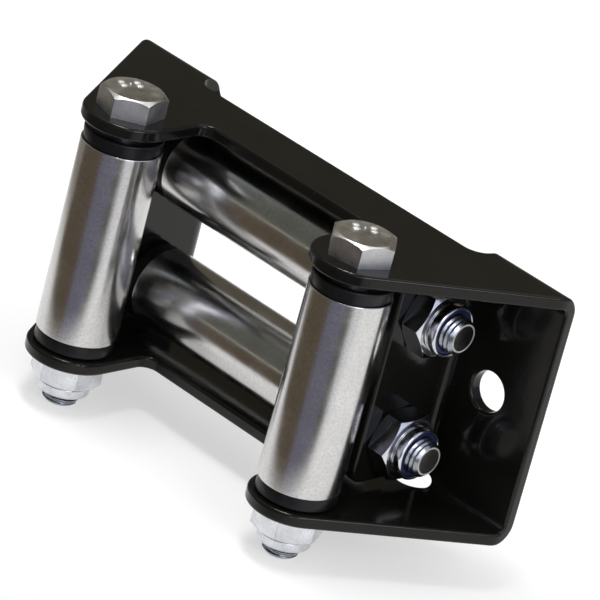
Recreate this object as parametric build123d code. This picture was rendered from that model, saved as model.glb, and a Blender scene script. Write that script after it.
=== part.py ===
from build123d import *
import math
import os

# Roller fairlead: a bent plate bracket with two upright and two level rollers, each turning
# freely on its own bolt. Millimetres. The origin lies midway between the two mounting holes, on
# the bracket's back face. +X is to the right seen from the front, -Y is forward, +Z is up.

# Bracket sheet
plate = 3.5                 # thickness
bend_inside = 2.3           # inside radius of every bend
edge_round = 0.8            # rounding that the thick coating leaves on the edges
bracket_width = 159.0
bracket_height = 71.6

# Holes that fix the fairlead to a winch plate
mounting_hole_spacing = 124.0
mounting_hole_diameter = 11.0

# Flanges, top and bottom alike, with reaches taken forward from the back face
front_axis_spacing = 86.0   # between the upright rollers' axes
front_axis_reach = 44.5     # to those axes
lug_radius = 12.5           # round end of each lug about its bolt
shoulder_radius = 6.0       # where the tapered side edge meets the web's end
recess_reach = 27.8         # to the front edge between the lugs
recess_corner = 3.5
notch_reach = 10.5          # to the back edge between the web's two ends
relief_radius = 5.5         # round corners of the notch, beside the cheeks' bends

# Cheeks, bent forward out of the web to carry the level rollers
cheek_span = 96.7           # over the outer faces
cheek_reach = 30.5          # from the back face to the front edge
cheek_gap = 0.3             # from a cheek's top or bottom edge to the start of the flange's bend
cheek_corner = 4.0
side_axis_spacing = 35.4    # between the level rollers' axes
side_axis_reach = 18.8      # from the back face to those axes

# Roller tubes
roller_diameter = 22.0
tube_wall = 2.0
tube_round = 0.3            # rounding of the outer end edges

# Bushings, pressed into both ends of each tube
rim_thickness = 3.7         # the rim that shows at each end of a roller
rim_step = 0.2              # how far the rim stands in from the tube's surface
rim_round = 0.5
spigot_length = 9.0         # the part inside the tube
spigot_lead = 0.8           # chamfer on the spigot's inner end
press_clearance = 0.03      # radial, between a spigot and its tube
running_clearance = 0.06    # radial, between a bushing and its bolt

# Free movement of a roller along its bolt
end_play = 2.3
resting_gap = 0.3           # under the lower rim of an upright roller

# Bolts
bolt_diameter = 10.0
bolt_hole_clearance = 0.3   # radial, in the sheet
head_flats = 16.0           # across flats
head_height = 6.4
bolt_point = 1.0            # chamfer on the bolt's end
bolt_end = 3.4              # how far the bolt stands out of its nut

# Self-locking nuts: a hexagon, then a round collar rolled in over a nylon ring
nut_flats = 17.0
nut_hex_height = 6.6
nut_height = 10.0
collar_diameter = 14.6
collar_round = 1.0
collar_wall = 0.8
collar_lip = 0.3            # thickness and inward reach of the collar's rolled edge
ring_thickness = 2.4
thread_clearance = 0.05     # radial, between a bolt and its nut, and about the ring

# Corners of every hexagon, cut by a cone
cone_slope = 30.0           # degrees
cone_circle = 0.95          # where the cone meets the end face, as a share of the flats

# Degrees that the heads and nuts happen to be turned about their bolts
left_head_turn = -17.5
right_head_turn = 11.0
left_nut_turn = -27.0
right_nut_turn = -4.0
level_nut_turn = 26.5

# Limits used in making the solids
round_share = 0.3           # the most of a wall that one rounding may take
sharp_angle = 30.0          # degrees between two faces that make an edge sharp
margin = 1.0                # how far a cutting shape runs past what it cuts
tiny = 0.001                # two coordinates closer than this are the same

# Worked out from the sizes above
half_width = bracket_width / 2
bend_outside = plate + bend_inside
edge_fillet = min(edge_round, plate * round_share)
front_x = front_axis_spacing / 2
lug_inner = front_x - lug_radius
cheek_outer = cheek_span / 2
cheek_inner = cheek_outer - plate
cheek_height = bracket_height - 2 * (bend_outside + cheek_gap)
bend_end = cheek_outer + bend_inside
opening_half = (cheek_inner + bend_end) / 2 + relief_radius
tube_radius = roller_diameter / 2
tube_bore = tube_radius - tube_wall
bolt_radius = bolt_diameter / 2
bolt_hole_radius = bolt_radius + bolt_hole_clearance
thread_bore = bolt_radius + thread_clearance
collar_bore = collar_diameter / 2 - collar_wall
ring_floor = nut_height - collar_lip - ring_thickness


def same(value, target):
    """True where two coordinates are the same."""
    return abs(value - target) < tiny


def circles(solid, radius):
    """The circular edges of the given radius."""
    return [edge for edge in solid.edges().filter_by(GeomType.CIRCLE) if same(edge.radius, radius)]


def sharp_edges(solid):
    """The edges where two faces meet at a clear angle."""
    faces = solid.faces()
    found = []
    for edge in solid.edges():
        sides = [face for face in faces if any(edge.is_same(other) for other in face.edges())]
        if len(sides) != 2:
            continue
        middle = edge.position_at(0.5)
        if sides[0].normal_at(middle).get_angle(sides[1].normal_at(middle)) > sharp_angle:
            found.append(edge)
    return found


# The bracket


def flange_plan():
    """Both flanges seen from above: tapered sides run into two round lugs with a recess between."""
    lug = Pos(front_x, -front_axis_reach) * Circle(lug_radius)
    back = Polyline((lug_inner, 0), (half_width, 0), (half_width, -bend_outside))
    right = make_hull(lug.edges() + back.edges())
    middle = Pos(0, -recess_reach / 2) * Rectangle(2 * lug_inner + margin, recess_reach)
    plan = right + middle + mirror(right, Plane.YZ)
    corners = [v for v in plan.vertices() if same(abs(v.X), lug_inner) and same(v.Y, -recess_reach)]
    plan = fillet(corners, recess_corner)
    shoulders = [v for v in plan.vertices() if same(abs(v.X), half_width) and same(v.Y, -bend_outside)]
    return fillet(shoulders, shoulder_radius)


def channel():
    """The bent channel, open to the front, a little longer than the bracket."""
    depth = front_axis_reach + lug_radius + margin
    outer = Pos(-depth / 2, 0) * Rectangle(depth, bracket_height)
    outer = fillet([v for v in outer.vertices() if same(v.X, 0)], bend_outside)
    inner = Pos(-plate - depth / 2, 0) * Rectangle(depth, bracket_height - 2 * plate)
    inner = fillet([v for v in inner.vertices() if same(v.X, -plate)], bend_inside)
    long_channel = extrude(Plane.YZ * (outer - inner), bracket_width + 2 * margin)
    return Pos(-half_width - margin, 0, 0) * long_channel


def web_opening():
    """What is cut from the web and the back of the flanges, with a round relief by each bend."""
    height = bracket_height + 2 * margin
    plan = Pos(0, margin - notch_reach / 2) * Rectangle(2 * opening_half, notch_reach + 2 * margin)
    plan = fillet([v for v in plan.vertices() if v.Y < 0], relief_radius)
    above = Pos(0, 0, -height / 2) * extrude(plan, height)
    front = Rectangle(2 * bend_end, cheek_height + margin)
    rise = (height - cheek_height) / 2
    for side in (-1, 1):
        relief = Pos(0, side * (cheek_height + rise) / 2) * Rectangle(2 * opening_half, rise)
        feet = [v for v in relief.vertices() if same(abs(v.Y), cheek_height / 2)]
        front += fillet(feet, opening_half - bend_end)
    through = Pos(0, 2 * margin, 0) * extrude(Plane.XZ * front, notch_reach + 3 * margin)
    return above & through


def cheek():
    """The right cheek with its bend and the strip that joins it to the web."""
    root = opening_half + margin
    outline = Polyline(
        (root, 0),
        (cheek_inner, 0),
        (cheek_inner, -cheek_reach),
        (cheek_outer, -cheek_reach),
        (cheek_outer, -plate),
        (root, -plate),
        close=True,
    )
    plan = make_face(outline)
    plan = fillet([v for v in plan.vertices() if same(v.X, cheek_inner) and same(v.Y, 0)], bend_outside)
    plan = fillet([v for v in plan.vertices() if same(v.X, cheek_outer) and same(v.Y, -plate)], bend_inside)
    solid = Pos(0, 0, -cheek_height / 2) * extrude(plan, cheek_height)
    front = [e for e in solid.edges().filter_by(Axis.X) if same(e.center().Y, -cheek_reach)]
    solid = fillet(front, cheek_corner)
    rim = [e for e in sharp_edges(solid) if e.center().X < root - margin / 2]
    return fillet(rim, edge_fillet)


def bracket():
    """The whole bracket, one piece of sheet with its holes."""
    height = bracket_height + 2 * margin
    body = channel() & Pos(0, 0, -height / 2) * extrude(flange_plan(), height)
    body = fillet(sharp_edges(body), edge_fillet)
    right_cheek = cheek()
    body = body - web_opening() + right_cheek + mirror(right_cheek, Plane.YZ)
    for side in (-1, 1):
        mounting_hole = Cylinder(mounting_hole_diameter / 2, 2 * plate + margin)
        body -= Pos(side * mounting_hole_spacing / 2, 0, 0) * Rot(90, 0, 0) * mounting_hole
        body -= Pos(side * front_x, -front_axis_reach, 0) * Cylinder(bolt_hole_radius, height)
        level_hole = Rot(0, 90, 0) * Cylinder(bolt_hole_radius, cheek_span + 2 * margin)
        body -= Pos(0, -side_axis_reach, side * side_axis_spacing / 2) * level_hole
    rims = [edge for edge in circles(body, mounting_hole_diameter / 2) if same(edge.arc_center.Y, -plate)]
    return fillet(rims, edge_fillet)


# The pieces of one roller, each along +Z about its own bolt


def ring(inner, outer, low, high):
    """A plain ring about Z."""
    section = Pos((inner + outer) / 2, (low + high) / 2) * Rectangle(outer - inner, high - low)
    return revolve(Plane.XZ * section, Axis.Z)


def tube(length):
    """A roller's steel tube, centred on the origin."""
    solid = ring(tube_bore, tube_radius, -length / 2, length / 2)
    return fillet(circles(solid, tube_radius), min(tube_round, tube_wall * round_share))


def bushing():
    """A bushing: its rim stands upwards on the XY plane and its spigot points down."""
    bore = bolt_radius + running_clearance
    rim_radius = tube_radius - rim_step
    rim = ring(bore, rim_radius, 0, rim_thickness)
    rim = fillet(circles(rim, rim_radius), min(rim_round, rim_thickness * round_share))
    spigot_radius = tube_bore - press_clearance
    spigot = ring(bore, spigot_radius, -spigot_length, 0)
    lead = [edge for edge in circles(spigot, spigot_radius) if same(edge.arc_center.Z, -spigot_length)]
    return rim + chamfer(lead, min(spigot_lead, (spigot_radius - bore) * round_share))


def hexagon(flats, height, both_ends):
    """A hexagonal prism on the XY plane with its corners cut at the top, or at both ends."""
    prism = extrude(RegularPolygon(flats / 2, 6, major_radius=False), height)
    circle = flats / 2 * cone_circle
    drop = (flats - circle) * math.tan(math.radians(cone_slope))
    foot = [(circle, 0), (flats, drop)] if both_ends else [(flats, 0)]
    section = Polyline((0, 0), *foot, (flats, height - drop), (circle, height), (0, height), close=True)
    return prism & revolve(Plane.XZ * make_face(section), Axis.Z)


def bolt(grip):
    """A hexagon bolt: the head stands on the XY plane and the shank points down."""
    length = grip + nut_height + bolt_end
    shank = Pos(0, 0, -length / 2) * Cylinder(bolt_radius, length)
    point = [edge for edge in circles(shank, bolt_radius) if same(edge.arc_center.Z, -length)]
    head = hexagon(head_flats, head_height, False)
    return head + chamfer(point, min(bolt_point, bolt_end / 2))


def nut():
    """A locking nut hanging below the XY plane, without its nylon ring."""
    collar = Pos(0, 0, nut_height / 2) * Cylinder(collar_diameter / 2, nut_height)
    end = [edge for edge in circles(collar, collar_diameter / 2) if same(edge.arc_center.Z, nut_height)]
    collar = fillet(end, min(collar_round, (nut_height - nut_hex_height) / 2))
    body = hexagon(nut_flats, nut_hex_height, True) + collar
    body -= Cylinder(thread_bore, 2 * nut_height + margin)
    body -= ring(0, collar_bore, ring_floor, ring_floor + ring_thickness)
    body -= ring(0, collar_bore - collar_lip, ring_floor, nut_height + margin)
    return Rot(180, 0, 0) * body


def nut_ring():
    """The nylon ring in a nut's collar, hanging below the XY plane."""
    body = ring(thread_bore, collar_bore - thread_clearance, ring_floor, ring_floor + ring_thickness)
    return Rot(180, 0, 0) * body


# Putting the rollers together


def roller(name, ends, place, grip, sink, head_turn, nut_turn):
    """All the pieces of one roller by name.

    The place puts the middle of the roller's clear space at the origin and its bolt's head
    towards +Z. The sink is how far the tube lies below the middle of that space.
    """
    length = grip - 2 * (plate + rim_thickness) - end_play
    seat = Pos(0, 0, -grip / 2) * Rot(0, 0, nut_turn)
    pieces = {
        "tube": Pos(0, 0, -sink) * tube(length),
        f"{ends[0]}_bushing": Pos(0, 0, length / 2 - sink) * bushing(),
        f"{ends[1]}_bushing": Pos(0, 0, -length / 2 - sink) * Rot(180, 0, 0) * bushing(),
        "bolt": Pos(0, 0, grip / 2) * Rot(0, 0, head_turn) * bolt(grip),
        "nut": seat * nut(),
        "nut_ring": seat * nut_ring(),
    }
    return {f"{name}_roller_{piece}": place * solid for piece, solid in pieces.items()}


def upright_roller(name, side, head_turn, nut_turn):
    """The left or right roller, resting low between the flanges."""
    place = Pos(side * front_x, -front_axis_reach, 0)
    sink = end_play / 2 - resting_gap
    return roller(name, ("top", "bottom"), place, bracket_height, sink, head_turn, nut_turn)


def level_roller(name, side):
    """The upper or lower roller, midway between the cheeks, with its nut on the right."""
    place = Pos(0, -side_axis_reach, side * side_axis_spacing / 2) * Rot(0, -90, 0)
    return roller(name, ("left", "right"), place, cheek_span, 0, 0, level_nut_turn)


def fairlead():
    """Every piece by name."""
    pieces = {"bracket": bracket()}
    pieces |= upright_roller("left", -1, left_head_turn, left_nut_turn)
    pieces |= upright_roller("right", 1, right_head_turn, right_nut_turn)
    pieces |= level_roller("upper", 1)
    pieces |= level_roller("lower", -1)
    return pieces


os.makedirs("parts", exist_ok=True)
for node, solid in fairlead().items():
    export_step(solid, f"parts/{node}.step")
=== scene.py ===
import math

import bmesh
import bpy
from bpy.props import FloatProperty, FloatVectorProperty, IntProperty, PointerProperty
from mathutils import Matrix, Vector


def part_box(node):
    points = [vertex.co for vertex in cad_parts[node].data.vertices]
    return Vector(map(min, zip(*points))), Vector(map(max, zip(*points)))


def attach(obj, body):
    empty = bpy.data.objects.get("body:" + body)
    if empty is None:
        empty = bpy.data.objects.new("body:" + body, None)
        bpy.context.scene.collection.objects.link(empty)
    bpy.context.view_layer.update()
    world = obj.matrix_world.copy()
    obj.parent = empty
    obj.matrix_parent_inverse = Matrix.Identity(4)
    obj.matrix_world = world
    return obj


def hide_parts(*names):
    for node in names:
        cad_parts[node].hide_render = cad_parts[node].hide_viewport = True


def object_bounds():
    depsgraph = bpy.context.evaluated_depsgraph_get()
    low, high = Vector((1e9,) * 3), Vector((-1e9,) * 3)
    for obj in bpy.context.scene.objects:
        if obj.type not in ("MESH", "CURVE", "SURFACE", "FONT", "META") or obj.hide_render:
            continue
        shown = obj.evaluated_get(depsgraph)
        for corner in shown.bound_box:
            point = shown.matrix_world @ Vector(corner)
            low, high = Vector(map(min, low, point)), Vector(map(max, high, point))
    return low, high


# Roller fairlead: a black coated bracket with two upright and two level plated rollers, each on
# its own bolt. Metres, in the same frame as the solids: the origin lies midway between the
# mounting holes on the back face, -Y is forward and +Z is up.

bl_info = {
    "name": "Roller Fairlead",
    "version": (1, 0, 0),
    "blender": (4, 5, 0),
    "location": "View3D > Sidebar > Fairlead",
    "description": "Builds the rollers, bolts and nuts of a roller fairlead and coats its bracket",
    "category": "Add Mesh",
}

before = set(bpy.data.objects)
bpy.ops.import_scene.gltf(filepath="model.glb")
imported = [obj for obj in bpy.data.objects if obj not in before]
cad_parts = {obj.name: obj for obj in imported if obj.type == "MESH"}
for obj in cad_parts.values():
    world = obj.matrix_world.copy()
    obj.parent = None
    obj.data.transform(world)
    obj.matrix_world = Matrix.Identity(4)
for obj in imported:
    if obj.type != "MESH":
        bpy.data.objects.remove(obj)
CAD_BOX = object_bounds()
MM = 0.001

# The rollers, and each one's ends, the bolt head's end first
UPRIGHT = ("left", "right")
LEVEL = ("upper", "lower")
ENDS = {
    "left": ("top", "bottom"),
    "right": ("top", "bottom"),
    "upper": ("left", "right"),
    "lower": ("left", "right"),
}

# Rollers
TUBE_WALL = 2 * MM
TUBE_ROUND = 0.3 * MM
BUSHING_BORE = 5.06 * MM        # radius
SPIGOT_RADIUS = 8.97 * MM
SPIGOT_LEAD = 0.8 * MM
RIM_ROUND = 0.5 * MM
RIM_FOOT = 0.2 * MM             # rounding of the rim's edge beside the tube

# Bolts
BOLT_RADIUS = 5 * MM
BOLT_POINT = 1 * MM             # chamfer on the bolt's end
END_RIM = 0.45 * MM             # width of the rounded step inside that chamfer
END_FACE = 3.5 * MM             # radius of the bright cut end inside the step
THREAD_LENGTH = 14.6 * MM
STEPS_PER_TURN = 12
SHANK_AROUND = 72
ROOT_SHARE = 0.2                # share of a pitch that is flat at the root, and at the crest
CREST_SHARE = 0.125
TINY = 0.01 * MM                # two heights closer than this are the same
HEAD_FLATS = 16 * MM
HEAD_HEIGHT = 6.4 * MM          # to the top of the raised marks
HEAD_CIRCLE = 0.95              # where the cone meets the end face, as a share of half the flats
HEAD_DISH = 0.1 * MM            # how far the top is sunk inside its rim
DISH_SHARE = 0.9                # the dish's share of the top
MARK_RISE = 0.3 * MM            # how far the marks stand over the head's rim
MARK_HEIGHT = 0.45 * MM         # from a mark's foot, inside the head, to its top
MARK_REACH = 6.6 * MM           # no mark lies further out
CONE_SLOPE = math.radians(30)   # of the cone that cuts the corners of heads and nuts
# The tops of the heads get a paler copy of the head zinc: painted light on the tops.
PAINTED_TOP_LIGHT = 1.35             # how much paler the zinc is on the tops of the heads

# Raised marks on a head, as out, across, half length and half width in millimetres, and the
# angles that they are turned to on the upright bolts
MARKS = (
    (2.4, -2.3, 0.9, 1.1),
    (4.5, -2.3, 0.9, 1.1),
    (2.4, 2.3, 0.9, 1.1),
    (4.5, 2.3, 0.9, 1.1),
    (3.5, 0, 0.4, 0.4),
)
MARK_HEADINGS = {"left": math.radians(176), "right": math.radians(126)}

# Nuts and their rings
NUT_FLATS = 17 * MM
NUT_HEXAGON = 6.6 * MM          # height of the hexagon
NUT_CIRCLE = 0.99
NUT_BORE = 5.05 * MM            # radius
NUT_LEAD = 0.5 * MM             # chamfer of the bore
COLLAR_RADIUS = 7.3 * MM
COLLAR_LIP = 6.35 * MM          # inner radius of the collar's rolled edge
COLLAR_GROOVE = 0.3 * MM        # radius of the groove between the hexagon and the collar
FOLD_SHARE = 0.75               # the rolled edge's rounding, as a share of the collar's wall
LIP_DROP = 0.12 * MM            # how far the rolled edge dips at its inner side
RING_SEAT = 7.3 * MM            # height of the floor under the ring
RING_RADIUS = 6.3 * MM
RING_EDGE = 0.1 * MM
RING_LEAD = (0.25 * MM, 0.2 * MM)

# Angles in degrees: edges sharper than these are kept sharp or broken
TURNED_SHARP = 50
FORGED_SHARP = 40
BROKEN_EDGE = 28

# The dim room that the bright metal reflects: what is seen in no area below, then soft edged areas
# as azimuth, elevation, half width, half height and softness in degrees, and colour
ROOM_DARK = (0.13, 0.132, 0.115)
ROOM = (
    (-32, -45, 34, 44, 10, (0.125, 0.098, 0.07)),
    (20, -45, 16, 44, 12, (0.185, 0.18, 0.235)),
    (118.5, -45, 51.5, 44, 16, (0.92, 0.92, 0.96)),
    (-125, -45, 48, 44, 14, (0.3, 0.27, 0.24)),
    (-108, 18, 40, 24, 12, (0.3, 0.34, 0.36)),
    (-141, 30, 45, 25, 12, (0.12, 0.105, 0.078)),
    (85, 46, 62, 44, 12, (0.34, 0.36, 0.47)),
    (92, 27, 30, 20, 6, (0.85, 0.9, 1.1)),
    (58, 9, 14, 7, 5, (2.2, 2.3, 2.5)),
    (-155, 68, 60, 12, 12, (1.2, 1.2, 1.1)),
)
ROOM_PLACE = ((-180, 180), (-90, 90))
ROOM_RADIUS = 3.0
ROOM_STEPS = (96, 48)

# A thin bright strip before that room, as two azimuths and two elevations in degrees, and colour
STRIP_PLACE = ((-75, 5), (7.5, 9.5))
STRIP_RADIUS = 2.8
STRIP_STEPS = (24, 2)
STRIP = (0.75, 0.72, 0.62)

# The floor's corners, and where it fades in reflections
FLOOR = ((-0.27, -0.122), (0.6, -0.122), (0.6, 0.6), (-0.27, 0.6))
FLOOR_GAP = 0.1 * MM            # under the lowest bolt end
FLOOR_GLOW = 0.5
FRONT_FADE = (-0.102, -0.07)
LEFT_FADE = (-0.26, -0.14)
LEFT_SLANT = 0.45
WORLD_LIGHT = 0.5               # on the surfaces, where what is seen has strength 1

# Lamps as name, azimuth, elevation in degrees, distance, size and watts
LAMPS = (
    ("top_light", -25, 80, 1.2, (0.6, 0.2), 6.5),
    ("side_light", 73, 30, 1.2, (0.45, 0.45), 3),
)
SENSOR_WIDTH = 36               # millimetres


class FairleadSizes(bpy.types.PropertyGroup):
    """Sizes that the solids leave plain."""

    thread_pitch: FloatProperty(
        name="Thread pitch", description="From one turn of a bolt's thread to the next",
        default=1.5 * MM, unit="LENGTH", precision=5)
    thread_depth: FloatProperty(
        name="Thread depth", description="From the crest of a thread to its root",
        default=0.6 * MM, unit="LENGTH", precision=5)
    edge_break: FloatProperty(
        name="Edge break", description="Rounding on the edges of the bolt heads and nuts",
        default=0.3 * MM, unit="LENGTH", precision=5)
    around: IntProperty(
        name="Steps around", description="Number of steps around each turned piece",
        default=144, min=36, max=360)
    left_head_turn: FloatProperty(
        name="Left head turn", description="How far the left upright bolt's head is turned",
        default=math.radians(-17.5), subtype="ANGLE")
    right_head_turn: FloatProperty(
        name="Right head turn", description="How far the right upright bolt's head is turned",
        default=math.radians(11), subtype="ANGLE")
    left_nut_turn: FloatProperty(
        name="Left nut turn", description="How far the left upright bolt's nut is turned",
        default=math.radians(-27), subtype="ANGLE")
    right_nut_turn: FloatProperty(
        name="Right nut turn", description="How far the right upright bolt's nut is turned",
        default=math.radians(-4), subtype="ANGLE")
    level_nut_turn: FloatProperty(
        name="Level nut turn", description="How far the nuts of the two level bolts are turned",
        default=math.radians(26.5), subtype="ANGLE")


class FairleadColours(bpy.types.PropertyGroup):
    """Colours of the finishes, with lighter and darker copies of the zinc that paint light and
    shade.
    """

    coating: FloatVectorProperty(
        name="Coating", description="Gloss powder coat of the bracket",
        default=(0.0056, 0.0055, 0.0049), subtype="COLOR", min=0, max=1)
    roller_plating: FloatVectorProperty(
        name="Roller plating", description="Bright plating of the roller tubes",
        default=(0.62, 0.612, 0.6), subtype="COLOR", min=0, max=1)
    bushing: FloatVectorProperty(
        name="Bushing", description="Black nylon of the bushings",
        default=(0.006, 0.006, 0.007), subtype="COLOR", min=0, max=1)
    bolt_zinc: FloatVectorProperty(
        name="Bolt zinc", description="Zinc plate of the bolt heads",
        default=(0.56, 0.55, 0.54), subtype="COLOR", min=0, max=1)
    # The shanks get a darker copy of the bolt zinc: painted shade.
    shank_zinc_painted_shade: FloatVectorProperty(
        name="Shank zinc", description="Darker zinc plate of the bolt shanks",
        default=(0.33, 0.345, 0.38), subtype="COLOR", min=0, max=1)
    # A pale, half metallic copy of the zinc: painted highlight on the marks and on the rim of each
    # bolt end.
    painted_highlight_marks: FloatVectorProperty(
        name="Raised marks", description="Matt zinc on the raised marks of the heads",
        default=(0.75, 0.75, 0.72), subtype="COLOR", min=0, max=1)
    # A darker copy of the nut zinc on the broken edges of the nuts: painted shade.
    edge_zinc_painted_shade: FloatVectorProperty(
        name="Painted_edge_shade zinc", description="Darker zinc on the worn edges of the nuts",
        default=(0.3, 0.29, 0.33), subtype="COLOR", min=0, max=1)
    nut_zinc: FloatVectorProperty(
        name="Nut zinc", description="Bluish zinc plate of the nuts",
        default=(0.66, 0.67, 0.7), subtype="COLOR", min=0, max=1)
    nut_ring: FloatVectorProperty(
        name="Nut ring", description="Blue nylon ring in each nut",
        default=(0.011, 0.018, 0.08), subtype="COLOR", min=0, max=1)
    floor: FloatVectorProperty(
        name="Floor", description="Pale floor under the fairlead",
        default=(0.6, 0.6, 0.6), subtype="COLOR", min=0, max=1)


class FairleadStage(bpy.types.PropertyGroup):
    """Where the camera stands."""

    azimuth: FloatProperty(
        name="Azimuth", description="Camera's turn to the right of straight ahead",
        default=math.radians(39.17), subtype="ANGLE")
    elevation: FloatProperty(
        name="Elevation", description="Camera's height above the horizon",
        default=math.radians(23.38), subtype="ANGLE")
    roll: FloatProperty(
        name="Roll", description="Camera's turn about its own line of sight",
        default=math.radians(14.89), subtype="ANGLE")
    distance: FloatProperty(
        name="Distance", description="From the camera to the point that it looks at",
        default=1.2704, unit="LENGTH")
    aim: FloatVectorProperty(
        name="Aim", description="The point that the camera looks at",
        default=(-3.43 * MM, -5.79 * MM, -5.72 * MM), subtype="XYZ", unit="LENGTH")
    focal_length: FloatProperty(
        name="Focal length", description="In millimetres, on a sensor 36 mm wide",
        default=289.3, min=1)


# Meshes


def new_object(name, mesh):
    """An object for the mesh, in the scene."""
    piece = bpy.data.objects.new(name, mesh)
    bpy.context.scene.collection.objects.link(piece)
    return piece


def arc(centre, radius, start, end, steps=6):
    """Points (radius, height) along an arc in the section, angles in degrees from outwards."""
    points = []
    for i in range(steps + 1):
        angle = math.radians(start + (end - start) * i / steps)
        points.append((centre[0] + radius * math.cos(angle), centre[1] + radius * math.sin(angle)))
    return points


def add_rings(mesh, rows, closed):
    """Rings of points joined by quads. A closed section joins the last ring to the first."""
    rings = [[mesh.verts.new(point) for point in row] for row in rows]
    pairs = list(zip(rings, rings[1:]))
    if closed:
        pairs.append((rings[-1], rings[0]))
    for low, high in pairs:
        for i in range(len(low)):
            j = (i + 1) % len(low)
            mesh.faces.new((low[i], low[j], high[j], high[i]))
    return rings


def close_end(mesh, ring, height, upwards):
    """A fan from the ring to a point on the axis."""
    centre = mesh.verts.new((0, 0, height))
    for i in range(len(ring)):
        j = (i + 1) % len(ring)
        mesh.faces.new((ring[i], ring[j], centre) if upwards else (ring[j], ring[i], centre))


def ring_angles(around):
    """Angles of the steps around."""
    return [2 * math.pi * i / around for i in range(around)]


def turned_row(point, around):
    """One ring of a turned piece."""
    radius, height = point
    return [(radius * math.cos(a), radius * math.sin(a), height) for a in ring_angles(around)]


def finish_mesh(name, mesh, sharp=TURNED_SHARP):
    """The finished mesh with outward faces, smooth but for edges sharper than the angle."""
    bmesh.ops.recalc_face_normals(mesh, faces=mesh.faces)
    data = bpy.data.meshes.new(name)
    mesh.to_mesh(data)
    mesh.free()
    data.shade_smooth()
    data.set_sharp_from_angle(angle=math.radians(sharp))
    return data


def turned_ring(name, section, around):
    """A piece turned from a closed section of (radius, height) points."""
    mesh = bmesh.new()
    add_rings(mesh, [turned_row(point, around) for point in section], True)
    return finish_mesh(name, mesh)


def hexagon_radius(flats, angle):
    """Distance from the axis to a hexagon's side at that angle, with corners at 0, 60 and on."""
    return flats / 2 / math.cos(angle % math.radians(60) - math.radians(30))


def hexagon_row(flats, angles, height, circle, side):
    """The ring where a hexagon's sides meet the cone that cuts its upper or lower corners."""
    row = []
    for angle in angles:
        radius = hexagon_radius(flats, angle)
        drop = (radius - circle) * math.tan(CONE_SLOPE)
        row.append((radius * math.cos(angle), radius * math.sin(angle), height - side * drop))
    return row


def break_edges(piece, width, material=-1):
    """Small roundings on the sharp edges of a head or nut."""
    edges = piece.modifiers.new("edge break", "BEVEL")
    edges.width = width
    edges.segments = 3
    edges.limit_method = "ANGLE"
    edges.angle_limit = math.radians(BROKEN_EDGE)
    edges.harden_normals = True
    edges.material = material


# Where the pieces go


def centre_of(node):
    """Middle of a solid's box."""
    low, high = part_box(node)
    return (low + high) / 2


def along(name):
    """Turn that takes +Z to the direction of a roller's bolt head."""
    if name in UPRIGHT:
        return Matrix.Identity(4)
    return Matrix.Rotation(math.radians(-90), 4, "Y")


def reach(name, node):
    """Lowest and highest place of a node along its roller's bolt, towards the head."""
    low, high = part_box(node)
    if name in UPRIGHT:
        return low.z, high.z
    return -high.x, -low.x


def place_on_bolt(piece, name, offset, turn=0.0, upside_down=False):
    """Sets a piece made about +Z on the roller's bolt, at that offset along it."""
    axis = centre_of(f"{name}_roller_tube")
    if name in UPRIGHT:
        axis.z = 0
    else:
        axis.x = 0
    matrix = Matrix.Translation(axis) @ along(name) @ Matrix.Translation((0, 0, offset))
    matrix = matrix @ Matrix.Rotation(turn, 4, "Z")
    if upside_down:
        matrix = matrix @ Matrix.Rotation(math.pi, 4, "X")
    piece.matrix_world = matrix


# Finishes


def new_material(name):
    """An empty node material and its main shader."""
    material = bpy.data.materials.new(name)
    material.use_nodes = True
    return material, material.node_tree, material.node_tree.nodes["Principled BSDF"]


def add_noise(tree, scale, detail=3.0, stretch=None):
    """Noise in the piece's own coordinates, with a scale in turns per metre."""
    place = tree.nodes.new("ShaderNodeTexCoord")
    noise = tree.nodes.new("ShaderNodeTexNoise")
    noise.inputs["Scale"].default_value = scale
    noise.inputs["Detail"].default_value = detail
    source = place.outputs["Object"]
    if stretch:
        mapping = tree.nodes.new("ShaderNodeMapping")
        mapping.inputs["Scale"].default_value = stretch
        tree.links.new(source, mapping.inputs["Vector"])
        source = mapping.outputs["Vector"]
    tree.links.new(source, noise.inputs["Vector"])
    return noise.outputs["Fac"]


def spread(tree, value, low, high, start=0.3, end=0.7):
    """The value's middle range spread from low to high."""
    ramp = tree.nodes.new("ShaderNodeMapRange")
    ramp.inputs["From Min"].default_value = start
    ramp.inputs["From Max"].default_value = end
    ramp.inputs["To Min"].default_value = low
    ramp.inputs["To Max"].default_value = high
    tree.links.new(value, ramp.inputs["Value"])
    return ramp.outputs["Result"]


def mix_colours(tree, factor, first, second):
    """A blend of two colours."""
    mix = tree.nodes.new("ShaderNodeMix")
    mix.data_type = "RGBA"
    tree.links.new(factor, mix.inputs["Factor"])
    for socket, colour in (("A", first), ("B", second)):
        end = [s for s in mix.inputs if s.name == socket and s.type == "RGBA"][0]
        if isinstance(colour, bpy.types.NodeSocket):
            tree.links.new(colour, end)
        else:
            end.default_value = (*colour, 1)
    return [s for s in mix.outputs if s.type == "RGBA"][0]


def add_bump(tree, height, distance, before=None):
    """Bumps of that height in metres, on top of earlier ones."""
    bump = tree.nodes.new("ShaderNodeBump")
    bump.inputs["Distance"].default_value = distance
    tree.links.new(height, bump.inputs["Height"])
    if before:
        tree.links.new(before, bump.inputs["Normal"])
    return bump.outputs["Normal"]


def shade(colour, factor):
    """The colour made lighter or darker."""
    return tuple(min(1.0, part * factor) for part in colour)


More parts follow.
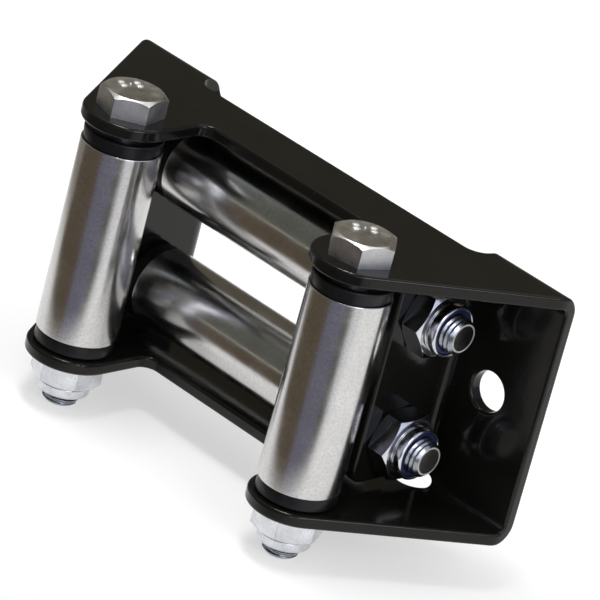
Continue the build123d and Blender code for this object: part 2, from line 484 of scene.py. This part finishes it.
def gloss_coating(colour):
    """Black powder coat: near mirror gloss, a slight orange peel and a few specks of dust."""
    material, tree, shader = new_material("gloss powder coat")
    dust = add_noise(tree, scale=2600, detail=1.0)
    patches = add_noise(tree, scale=60, detail=4.0)
    thin = mix_colours(tree, spread(tree, patches, 0, 1), colour, shade(colour, 1.5))
    specks = spread(tree, dust, 0, 1, start=0.8, end=0.84)
    speck = mix_colours(tree, specks, thin, (0.16, 0.16, 0.15))
    tree.links.new(speck, shader.inputs["Base Color"])
    tree.links.new(spread(tree, patches, low=0.1, high=0.18), shader.inputs["Roughness"])
    peel = add_bump(tree, add_noise(tree, scale=420, detail=2.0), distance=0.03 * MM)
    tree.links.new(peel, shader.inputs["Normal"])
    shader.inputs["IOR"].default_value = 1.34
    shader.inputs["Specular Tint"].default_value = (1.0, 0.98, 0.92, 1)
    return material


def bright_plating(colour):
    """Bright plating of a rolled tube: lively reflections, faintly mottled and drawn lengthwise."""
    material, tree, shader = new_material("bright roller plating")
    shader.inputs["Metallic"].default_value = 1
    clouds = add_noise(tree, scale=140, detail=6.0)
    grains = add_noise(tree, scale=1500)
    drawn = add_noise(tree, scale=900, detail=4.0, stretch=(1, 1, 0.06))
    base = mix_colours(tree, spread(tree, clouds, 0, 1), shade(colour, 0.93), shade(colour, 1.05))
    grain = spread(tree, grains, 0, 1, start=0.4, end=0.72)
    base = mix_colours(tree, grain, base, shade(colour, 0.84))
    tree.links.new(base, shader.inputs["Base Color"])
    tree.links.new(spread(tree, clouds, low=0.16, high=0.24), shader.inputs["Roughness"])
    wave = add_bump(tree, add_noise(tree, scale=110, detail=3.5), distance=0.03 * MM)
    fine = add_bump(tree, drawn, distance=0.002 * MM, before=wave)
    tree.links.new(fine, shader.inputs["Normal"])
    return material


def satin_nylon(name, colour, ior):
    """Moulded nylon with a satin skin and faint turned lines."""
    material, tree, shader = new_material(name)
    mottle = add_noise(tree, scale=500)
    lines = add_noise(tree, scale=3500, detail=1.0, stretch=(0.02, 0.02, 1))
    base = mix_colours(tree, spread(tree, mottle, 0, 1), shade(colour, 0.85), shade(colour, 1.25))
    tree.links.new(base, shader.inputs["Base Color"])
    tree.links.new(spread(tree, mottle, low=0.28, high=0.42), shader.inputs["Roughness"])
    tree.links.new(add_bump(tree, lines, distance=0.006 * MM), shader.inputs["Normal"])
    shader.inputs["IOR"].default_value = ior
    return material


def zinc_plate(name, colour, smooth, rough, metallic=1.0):
    """Zinc plate over forged steel: small pits, cloudy sheen and duller patches."""
    material, tree, shader = new_material(name)
    shader.inputs["Metallic"].default_value = metallic
    clouds = add_noise(tree, scale=260, detail=5.0)
    pits = add_noise(tree, scale=2400)
    base = mix_colours(tree, spread(tree, clouds, 0, 1), shade(colour, 0.82), shade(colour, 1.1))
    pitted = spread(tree, pits, 0, 1, start=0.55, end=0.8)
    base = mix_colours(tree, pitted, base, shade(colour, 0.6))
    tree.links.new(base, shader.inputs["Base Color"])
    tree.links.new(spread(tree, clouds, smooth, rough), shader.inputs["Roughness"])
    # A bump of duller, worn patches; no shade is painted here.
    painted_shade_and_wear = add_bump(tree, clouds, distance=0.04 * MM)
    pitting = add_bump(tree, pits, distance=0.012 * MM, before=painted_shade_and_wear)
    tree.links.new(pitting, shader.inputs["Normal"])
    return material


# The pieces


def tube_section(radius, bore, length, rounding):
    """Section of a roller tube, its outer edges rounded and its bore edges broken."""
    half = length / 2
    lead = rounding / 2
    section = [(bore, -half + lead), (bore + lead, -half)]
    section += arc((radius - rounding, -half + rounding), rounding, -90, 0)
    section += arc((radius - rounding, half - rounding), rounding, 0, 90)
    return section + [(bore + lead, half), (bore, half - lead)]


def bushing_section(rim, rim_height, spigot_length):
    """Section of a bushing: the rim above z = 0 and the spigot below it."""
    section = [
        (BUSHING_BORE, -spigot_length),
        (SPIGOT_RADIUS - SPIGOT_LEAD, -spigot_length),
        (SPIGOT_RADIUS, -spigot_length + SPIGOT_LEAD),
        (SPIGOT_RADIUS, 0),
    ]
    section += arc((rim - RIM_ROUND, RIM_FOOT), RIM_FOOT, -90, 0, 3)
    section += arc((rim - RIM_ROUND, rim_height - RIM_ROUND), RIM_ROUND, 0, 90)
    lead = SPIGOT_LEAD / 2
    return section + [(BUSHING_BORE + lead, rim_height), (BUSHING_BORE, rim_height - lead)]


def thread_radius(major, depth, phase):
    """Radius of a thread at that share of a turn from the middle of its root."""
    from_root = 1 - abs(phase % 1 - 0.5) * 2
    flank = min(1.0, max(0.0, (from_root - ROOT_SHARE) / (1 - ROOT_SHARE - CREST_SHARE)))
    return major - depth * (1 - flank)


def add_shank(mesh, length, pitch, depth):
    """A bolt's shank below z = 0, with a helical thread over its last part."""
    point = BOLT_RADIUS - BOLT_POINT
    rows = [turned_row((BOLT_RADIUS, 0.0), SHANK_AROUND)]
    steps = round(THREAD_LENGTH / pitch * STEPS_PER_TURN)
    for i in range(steps + 1):
        run = THREAD_LENGTH * i / steps
        height = THREAD_LENGTH - length - run
        fade = min(1.0, run / pitch)
        row = []
        for angle in ring_angles(SHANK_AROUND):
            phase = run / pitch - angle / (2 * math.pi)
            radius = thread_radius(BOLT_RADIUS, depth * fade, phase)
            radius = min(radius, point + THREAD_LENGTH - run)
            row.append((radius * math.cos(angle), radius * math.sin(angle), height))
        rows.append(row)
    rows.append(turned_row((point - END_RIM, -length), SHANK_AROUND))
    rings = add_rings(mesh, rows, False)
    close_end(mesh, rings[0], 0, True)
    close_end(mesh, rings[-1], -length, False)


def add_head(mesh, around):
    """A bolt's hexagon head above z = 0, its corners cut by a cone and its top slightly dished."""
    angles = ring_angles(around)
    circle = HEAD_FLATS / 2 * HEAD_CIRCLE
    top = HEAD_HEIGHT - MARK_RISE
    foot = []
    for angle in angles:
        radius = hexagon_radius(HEAD_FLATS, angle)
        foot.append((radius * math.cos(angle), radius * math.sin(angle), 0))
    rows = [foot, hexagon_row(HEAD_FLATS, angles, top, circle, 1)]
    rows.append(turned_row((circle, top), around))
    rows.append(turned_row((circle * DISH_SHARE, top - HEAD_DISH), around))
    rings = add_rings(mesh, rows, False)
    close_end(mesh, rings[0], 0, False)
    close_end(mesh, rings[-1], top - HEAD_DISH, True)


def add_mark(mesh, heading, mark):
    """An oval dome on a head, one of its raised forging marks, at that heading."""
    out, across, length, width = (part * MM for part in mark)
    level = HEAD_HEIGHT - MARK_HEIGHT
    turned = Matrix.Rotation(heading, 3, "Z")
    around, steps = 24, 6
    rows = []
    for i in range(steps):
        share = math.cos(math.radians(90 * i / steps))
        rise = level + MARK_HEIGHT * math.sin(math.radians(90 * i / steps))
        row = []
        for angle in ring_angles(around):
            x = out + length * share * math.cos(angle)
            y = across + width * share * math.sin(angle)
            row.append(turned @ Vector((x, y, rise)))
        rows.append(row)
    rings = add_rings(mesh, rows, False)
    top = mesh.verts.new(turned @ Vector((out, across, level + MARK_HEIGHT)))
    foot = mesh.verts.new(turned @ Vector((out, across, level)))
    for i in range(around):
        j = (i + 1) % around
        mesh.faces.new((rings[-1][i], rings[-1][j], top))
        mesh.faces.new((rings[0][j], rings[0][i], foot))


def add_nut_body(mesh, total, around):
    """A locking nut above z = 0: hexagon, collar with its edge rolled in, and the bore."""
    angles = ring_angles(around)
    circle = NUT_FLATS / 2 * NUT_CIRCLE
    groove = COLLAR_GROOVE
    fold = (COLLAR_RADIUS - COLLAR_LIP) * FOLD_SHARE
    collar = arc((COLLAR_RADIUS - groove / 2, NUT_HEXAGON + groove), groove, 250, 180, 4)
    collar += arc((COLLAR_RADIUS - groove, NUT_HEXAGON + 3 * groove), groove, -60, 0, 4)
    collar += arc((COLLAR_RADIUS - fold, total - fold), fold, 0, 90, 8)
    collar.append((COLLAR_LIP, total - LIP_DROP))
    collar.append((COLLAR_LIP, RING_SEAT))
    collar.append((NUT_BORE, RING_SEAT))
    collar.append((NUT_BORE, NUT_LEAD))
    rows = [turned_row((NUT_BORE + NUT_LEAD, 0), around), turned_row((circle, 0), around)]
    rows.append(hexagon_row(NUT_FLATS, angles, 0, circle, -1))
    rows.append(hexagon_row(NUT_FLATS, angles, NUT_HEXAGON, circle, 1))
    rows.append(turned_row((circle, NUT_HEXAGON), around))
    rows += [turned_row(point, around) for point in collar]
    add_rings(mesh, rows, True)


def paint_bolt(bolt, length):
    """Gives each face of a bolt the number of its finish, in the order that MakeBolts adds them."""
    head_top_painted_light, head_side, raised_painted_highlight, shank, cut_end = range(5)
    dish = HEAD_HEIGHT - MARK_RISE - HEAD_DISH
    for face in bolt.data.polygons:
        middle = face.center
        if middle.z < -length + TINY:
            # The cut end lies inside; the rim outside it takes the pale copy, a painted highlight.
            face.material_index = cut_end if middle.xy.length < END_FACE else raised_painted_highlight
        elif middle.z < 0:
            # The shank takes the darker copy: painted shade.
            face.material_index = shank
        elif abs(face.normal.z) < 0.5:
            face.material_index = head_side
        elif middle.z > dish + TINY and middle.xy.length < MARK_REACH:
            # The marks take the pale copy: painted highlight.
            face.material_index = raised_painted_highlight
        else:
            # The top and the cone take the paler copy: painted light.
            face.material_index = head_top_painted_light


class MakeBracket(bpy.types.Operator):
    """Coats the bent bracket in gloss black"""

    bl_idname = "fairlead.coat_bracket"
    bl_label = "Coat Bracket"

    def execute(self, context):
        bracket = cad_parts["bracket"]
        bracket.data.materials.clear()
        bracket.data.materials.append(gloss_coating(context.scene.fairlead_colours.coating))
        return {"FINISHED"}


class MakeTubes(bpy.types.Operator):
    """Makes the plated tube of each roller"""

    bl_idname = "fairlead.make_tubes"
    bl_label = "Make Roller Tubes"

    def execute(self, context):
        sizes = context.scene.fairlead_sizes
        plating = bright_plating(context.scene.fairlead_colours.roller_plating)
        for name in UPRIGHT + LEVEL:
            node = f"{name}_roller_tube"
            low, high = reach(name, node)
            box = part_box(node)
            radius = (box[1].y - box[0].y) / 2
            section = tube_section(radius, radius - TUBE_WALL, high - low, TUBE_ROUND)
            tube = new_object(f"{name}_plated_tube", turned_ring(node, section, sizes.around))
            tube.data.materials.append(plating)
            place_on_bolt(tube, name, (low + high) / 2)
            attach(tube, f"{name}_roller")
            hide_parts(node)
        return {"FINISHED"}


class MakeBushings(bpy.types.Operator):
    """Makes the two bushings of each roller"""

    bl_idname = "fairlead.make_bushings"
    bl_label = "Make Bushings"

    def execute(self, context):
        sizes = context.scene.fairlead_sizes
        colours = context.scene.fairlead_colours
        nylon = satin_nylon("black bushing nylon", colours.bushing, ior=1.35)
        for name in UPRIGHT + LEVEL:
            tube_low, tube_high = reach(name, f"{name}_roller_tube")
            for end, tube_end, below in zip(ENDS[name], (tube_high, tube_low), (False, True)):
                node = f"{name}_roller_{end}_bushing"
                low, high = reach(name, node)
                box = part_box(node)
                rim = (box[1].y - box[0].y) / 2
                rim_height = tube_low - low if below else high - tube_high
                spigot = high - low - rim_height
                section = bushing_section(rim, rim_height, spigot)
                mesh = turned_ring(node, section, sizes.around)
                bushing = new_object(f"{name}_{end}_rim_bushing", mesh)
                bushing.data.materials.append(nylon)
                place_on_bolt(bushing, name, tube_end, upside_down=below)
                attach(bushing, f"{name}_roller")
                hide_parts(node)
        return {"FINISHED"}


class MakeBolts(bpy.types.Operator):
    """Makes the four bolts with their hexagon heads and threads"""

    bl_idname = "fairlead.make_bolts"
    bl_label = "Make Bolts"

    def execute(self, context):
        sizes = context.scene.fairlead_sizes
        colours = context.scene.fairlead_colours
        # A paler copy of the head zinc for the tops of the heads: painted light.
        pale = shade(colours.bolt_zinc, PAINTED_TOP_LIGHT)
        finishes = (
            zinc_plate("zinc on forged heads", pale, smooth=0.26, rough=0.38),
            zinc_plate("zinc on head sides", colours.bolt_zinc, smooth=0.38, rough=0.48),
            # Pale, half metallic copy for the marks and the end rims: painted highlight.
            zinc_plate(
                "zinc on raised marks", colours.painted_highlight_marks, smooth=0.3, rough=0.42, metallic=0.5),
            # Darker copy of the zinc on the shanks: painted shade.
            zinc_plate("zinc on rolled shanks", colours.shank_zinc_painted_shade, smooth=0.2, rough=0.28),
            zinc_plate("zinc on cut ends", colours.bolt_zinc, smooth=0.12, rough=0.18),
        )
        turns = {"left": sizes.left_head_turn, "right": sizes.right_head_turn}
        for name in UPRIGHT + LEVEL:
            node = f"{name}_roller_bolt"
            low, high = reach(name, node)
            length = high - low - HEAD_HEIGHT
            mesh = bmesh.new()
            add_head(mesh, sizes.around)
            add_shank(mesh, length, sizes.thread_pitch, sizes.thread_depth)
            for mark in MARKS:
                add_mark(mesh, MARK_HEADINGS.get(name, 0.0), mark)
            bolt = new_object(f"{name}_hex_bolt", finish_mesh(node, mesh, FORGED_SHARP))
            for finish in finishes:
                bolt.data.materials.append(finish)
            paint_bolt(bolt, length)
            break_edges(bolt, sizes.edge_break)
            place_on_bolt(bolt, name, high - HEAD_HEIGHT, turns.get(name, 0.0))
            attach(bolt, "frame")
            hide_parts(node)
        return {"FINISHED"}


class MakeNuts(bpy.types.Operator):
    """Makes the locking nuts"""

    bl_idname = "fairlead.make_nuts"
    bl_label = "Make Nuts"

    def execute(self, context):
        sizes = context.scene.fairlead_sizes
        colours = context.scene.fairlead_colours
        zinc = zinc_plate("nut zinc", colours.nut_zinc, smooth=0.1, rough=0.17)
        # Darker copy of the nut zinc for the edge roundings: painted shade.
        painted_shade_and_wear = zinc_plate("worn nut zinc", colours.edge_zinc_painted_shade, smooth=0.3, rough=0.4)
        turns = {"left": sizes.left_nut_turn, "right": sizes.right_nut_turn}
        for name in UPRIGHT + LEVEL:
            node = f"{name}_roller_nut"
            low, high = reach(name, node)
            mesh = bmesh.new()
            add_nut_body(mesh, high - low, sizes.around)
            nut = new_object(f"{name}_locking_nut", finish_mesh(node, mesh, FORGED_SHARP))
            nut.data.materials.append(zinc)
            nut.data.materials.append(painted_shade_and_wear)
            # The edge roundings take the darker copy: painted shade.
            break_edges(nut, sizes.edge_break, material=1)
            turn = turns.get(name, sizes.level_nut_turn)
            place_on_bolt(nut, name, high, turn, upside_down=True)
            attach(nut, "frame")
            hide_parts(node)
        return {"FINISHED"}


class MakeNutRings(bpy.types.Operator):
    """Makes the blue nylon ring in each nut"""

    bl_idname = "fairlead.make_nut_rings"
    bl_label = "Make Nut Rings"

    def execute(self, context):
        sizes = context.scene.fairlead_sizes
        colours = context.scene.fairlead_colours
        nylon = satin_nylon("blue ring nylon", colours.nut_ring, ior=1.5)
        for name in UPRIGHT + LEVEL:
            node = f"{name}_roller_nut_ring"
            low, high = reach(name, node)
            height = high - low
            section = (
                (NUT_BORE, 0),
                (RING_RADIUS, 0),
                (RING_RADIUS, height - RING_EDGE),
                (RING_RADIUS - RING_EDGE, height),
                (NUT_BORE + RING_LEAD[0], height),
                (NUT_BORE, height - RING_LEAD[1]),
            )
            ring = new_object(f"{name}_nylon_ring", turned_ring(node, section, sizes.around))
            ring.data.materials.append(nylon)
            place_on_bolt(ring, name, high, upside_down=True)
            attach(ring, "frame")
            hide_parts(node)
        return {"FINISHED"}


# The stage


def direction(azimuth, elevation):
    """The way to that azimuth and elevation, both in radians, from straight ahead."""
    flat = math.cos(elevation)
    return Vector((math.sin(azimuth) * flat, -math.cos(azimuth) * flat, math.sin(elevation)))


def add_maths(tree, operation, first, second, third=None):
    """One sum on values or sockets."""
    node = tree.nodes.new("ShaderNodeMath")
    node.operation = operation
    for socket, value in zip(node.inputs, (first, second, third)):
        if isinstance(value, bpy.types.NodeSocket):
            tree.links.new(value, socket)
        elif value is not None:
            socket.default_value = value
    return node.outputs["Value"]


def seen_share(tree):
    """1 for light that is seen straight, in gloss or through glass, and 0 for other light."""
    path = tree.nodes.new("ShaderNodeLightPath").outputs
    seen = add_maths(tree, "MAXIMUM", path["Is Camera Ray"], path["Is Glossy Ray"])
    return add_maths(tree, "MAXIMUM", seen, path["Is Transmission Ray"])


def make_world():
    """White seen straight and in reflections, and a plainer soft light on the surfaces."""
    world = bpy.data.worlds.new("soft studio")
    bpy.context.scene.world = world
    world.use_nodes = True
    tree = world.node_tree
    background = tree.nodes["Background"]
    background.inputs["Color"].default_value = (1, 1, 1, 1)
    strength = tree.nodes.new("ShaderNodeMapRange")
    strength.inputs["To Min"].default_value = WORLD_LIGHT
    strength.inputs["To Max"].default_value = 1.0
    tree.links.new(seen_share(tree), strength.inputs["Value"])
    tree.links.new(strength.outputs["Result"], background.inputs["Strength"])


def smooth_share(tree, value, low, high):
    """The value's smooth rise from 0 at low to 1 at high."""
    ramp = tree.nodes.new("ShaderNodeMapRange")
    ramp.interpolation_type = "SMOOTHSTEP"
    ramp.inputs["From Min"].default_value = low
    ramp.inputs["From Max"].default_value = high
    tree.links.new(value, ramp.inputs["Value"])
    return ramp.outputs["Result"]


def make_floor(colour, level):
    """A pale board that keeps the shadow. In reflections its front and left edges fade out."""
    mesh = bmesh.new()
    mesh.faces.new([mesh.verts.new((x, y, level)) for x, y in FLOOR])
    floor = new_object("pale_floor", finish_mesh("pale_floor", mesh))
    material, tree, shader = new_material("pale floor")
    shader.inputs["Base Color"].default_value = (*colour, 1)
    shader.inputs["Roughness"].default_value = 0.9
    shader.inputs["Emission Color"].default_value = (1, 1, 1, 1)
    glow = add_maths(tree, "MULTIPLY", seen_share(tree), FLOOR_GLOW)
    tree.links.new(glow, shader.inputs["Emission Strength"])
    place = tree.nodes.new("ShaderNodeTexCoord")
    split = tree.nodes.new("ShaderNodeSeparateXYZ")
    tree.links.new(place.outputs["Object"], split.inputs["Vector"])
    x, y = split.outputs["X"], split.outputs["Y"]
    front = smooth_share(tree, y, *FRONT_FADE)
    left = smooth_share(tree, add_maths(tree, "MULTIPLY_ADD", y, LEFT_SLANT, x), *LEFT_FADE)
    faded = add_maths(tree, "SUBTRACT", 1.0, add_maths(tree, "MULTIPLY", front, left))
    path = tree.nodes.new("ShaderNodeLightPath")
    faded = add_maths(tree, "MULTIPLY", faded, path.outputs["Is Glossy Ray"])
    see_past = tree.nodes.new("ShaderNodeBsdfTransparent")
    blend = tree.nodes.new("ShaderNodeMixShader")
    tree.links.new(faded, blend.inputs["Fac"])
    tree.links.new(shader.outputs["BSDF"], blend.inputs[1])
    tree.links.new(see_past.outputs["BSDF"], blend.inputs[2])
    tree.links.new(blend.outputs["Shader"], tree.nodes["Material Output"].inputs["Surface"])
    floor.data.materials.append(material)
    return floor


def soft_edge(offset, half, softness):
    """1 within the half width, falling smoothly to 0 over the softness beyond it."""
    share = min(1.0, max(0.0, 1 - (abs(offset) - half) / softness))
    return share * share * (3 - 2 * share)


def glow_colour(base, areas, azimuth, elevation):
    """What is sent from that direction, in degrees: the base colour, and the areas over it."""
    colour = Vector(base)
    for middle, height, wide, tall, softness, light in areas:
        beside = soft_edge((azimuth - middle + 180) % 360 - 180, wide, softness)
        above = soft_edge(elevation - height, tall, softness)
        colour = colour.lerp(Vector(light), beside * above)
    return colour


def glow_only(piece):
    """Lets reflections alone see the piece."""
    piece.visible_camera = False
    piece.visible_diffuse = False
    piece.visible_transmission = False
    piece.visible_shadow = False


def make_card(name, azimuths, elevations, distance, steps, base, areas=()):
    """A curved glowing card between two azimuths and two elevations."""
    mesh = bmesh.new()
    glow = mesh.verts.layers.float_color.new("glow")
    rows = []
    across, down = steps
    for j in range(down + 1):
        elevation = elevations[0] + (elevations[1] - elevations[0]) * j / down
        row = []
        for i in range(across + 1):
            azimuth = azimuths[0] + (azimuths[1] - azimuths[0]) * i / across
            place = direction(math.radians(azimuth), math.radians(elevation)) * distance
            point = mesh.verts.new(place)
            point[glow] = (*glow_colour(base, areas, azimuth, elevation), 1)
            row.append(point)
        rows.append(row)
    for low, high in zip(rows, rows[1:]):
        for i in range(across):
            mesh.faces.new((low[i], low[i + 1], high[i + 1], high[i]))
    card = new_object(name, finish_mesh(name, mesh))
    material = bpy.data.materials.new(name)
    material.use_nodes = True
    tree = material.node_tree
    tree.nodes.clear()
    colour = tree.nodes.new("ShaderNodeVertexColor")
    colour.layer_name = "glow"
    emission = tree.nodes.new("ShaderNodeEmission")
    output = tree.nodes.new("ShaderNodeOutputMaterial")
    tree.links.new(colour.outputs["Color"], emission.inputs["Color"])
    tree.links.new(emission.outputs["Emission"], output.inputs["Surface"])
    card.data.materials.append(material)
    glow_only(card)
    return card


def make_light(name, azimuth, elevation, distance, size, power):
    """A soft oblong lamp turned towards the fairlead."""
    lamp = bpy.data.lights.new(name, "AREA")
    lamp.shape = "RECTANGLE"
    lamp.size, lamp.size_y = size
    lamp.energy = power
    place = direction(math.radians(azimuth), math.radians(elevation)) * distance
    light = bpy.data.objects.new(name, lamp)
    bpy.context.scene.collection.objects.link(light)
    light.location = place
    light.rotation_mode = "QUATERNION"
    light.rotation_quaternion = (-place).to_track_quat("-Z", "Y")


def make_camera(stage):
    """The camera at the photograph's place."""
    data = bpy.data.cameras.new("camera")
    data.sensor_width = SENSOR_WIDTH
    data.lens = stage.focal_length
    data.clip_start = 0.01
    data.clip_end = 50
    camera = bpy.data.objects.new("camera", data)
    bpy.context.scene.collection.objects.link(camera)
    back = direction(stage.azimuth, stage.elevation)
    right = Vector((math.cos(stage.azimuth), math.sin(stage.azimuth), 0))
    upright = back.cross(right)
    turned_right = right * math.cos(stage.roll) + upright * math.sin(stage.roll)
    turned_up = upright * math.cos(stage.roll) - right * math.sin(stage.roll)
    matrix = Matrix((turned_right, turned_up, back)).transposed().to_4x4()
    matrix.translation = Vector(stage.aim) + back * stage.distance
    camera.matrix_world = matrix
    bpy.context.scene.camera = camera


class SetStage(bpy.types.Operator):
    """Sets the floor, the soft lights, the reflected cards and the camera"""

    bl_idname = "fairlead.set_stage"
    bl_label = "Set Stage"

    def execute(self, context):
        make_world()
        make_floor(context.scene.fairlead_colours.floor, CAD_BOX[0].z - FLOOR_GAP)
        make_card("room", *ROOM_PLACE, ROOM_RADIUS, ROOM_STEPS, ROOM_DARK, ROOM)
        make_card("light_strip", *STRIP_PLACE, STRIP_RADIUS, STRIP_STEPS, STRIP)
        for lamp in LAMPS:
            make_light(*lamp)
        context.scene.view_settings.view_transform = "Standard"
        make_camera(context.scene.fairlead_stage)
        return {"FINISHED"}


class FairleadPanel(bpy.types.Panel):
    """The fairlead's settings and steps"""

    bl_idname = "VIEW3D_PT_fairlead"
    bl_label = "Roller Fairlead"
    bl_space_type = "VIEW_3D"
    bl_region_type = "UI"
    bl_category = "Fairlead"

    def draw(self, context):
        layout = self.layout
        scene = context.scene
        groups = {
            "Sizes": scene.fairlead_sizes,
            "Colours": scene.fairlead_colours,
            "Camera": scene.fairlead_stage,
        }
        for title, group in groups.items():
            box = layout.box()
            box.label(text=title)
            for name in group.__annotations__:
                box.prop(group, name)
        for step in STEPS:
            layout.operator(step.bl_idname)


STEPS = (MakeBracket, MakeTubes, MakeBushings, MakeBolts, MakeNuts, MakeNutRings, SetStage)
GROUPS = {
    "fairlead_sizes": FairleadSizes,
    "fairlead_colours": FairleadColours,
    "fairlead_stage": FairleadStage,
}
CLASSES = (*GROUPS.values(), *STEPS, FairleadPanel)


def register():
    """Registers the classes and hangs the settings on the scene."""
    for cls in CLASSES:
        bpy.utils.register_class(cls)
    for name, group in GROUPS.items():
        setattr(bpy.types.Scene, name, PointerProperty(type=group))


def unregister():
    """Takes the settings and the classes away again."""
    for name in GROUPS:
        delattr(bpy.types.Scene, name)
    for cls in reversed(CLASSES):
        bpy.utils.unregister_class(cls)


def main():
    """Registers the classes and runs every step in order."""
    register()
    for step in STEPS:
        category, name = step.bl_idname.split(".")
        getattr(getattr(bpy.ops, category), name)()


if __name__ == "__main__":
    main()
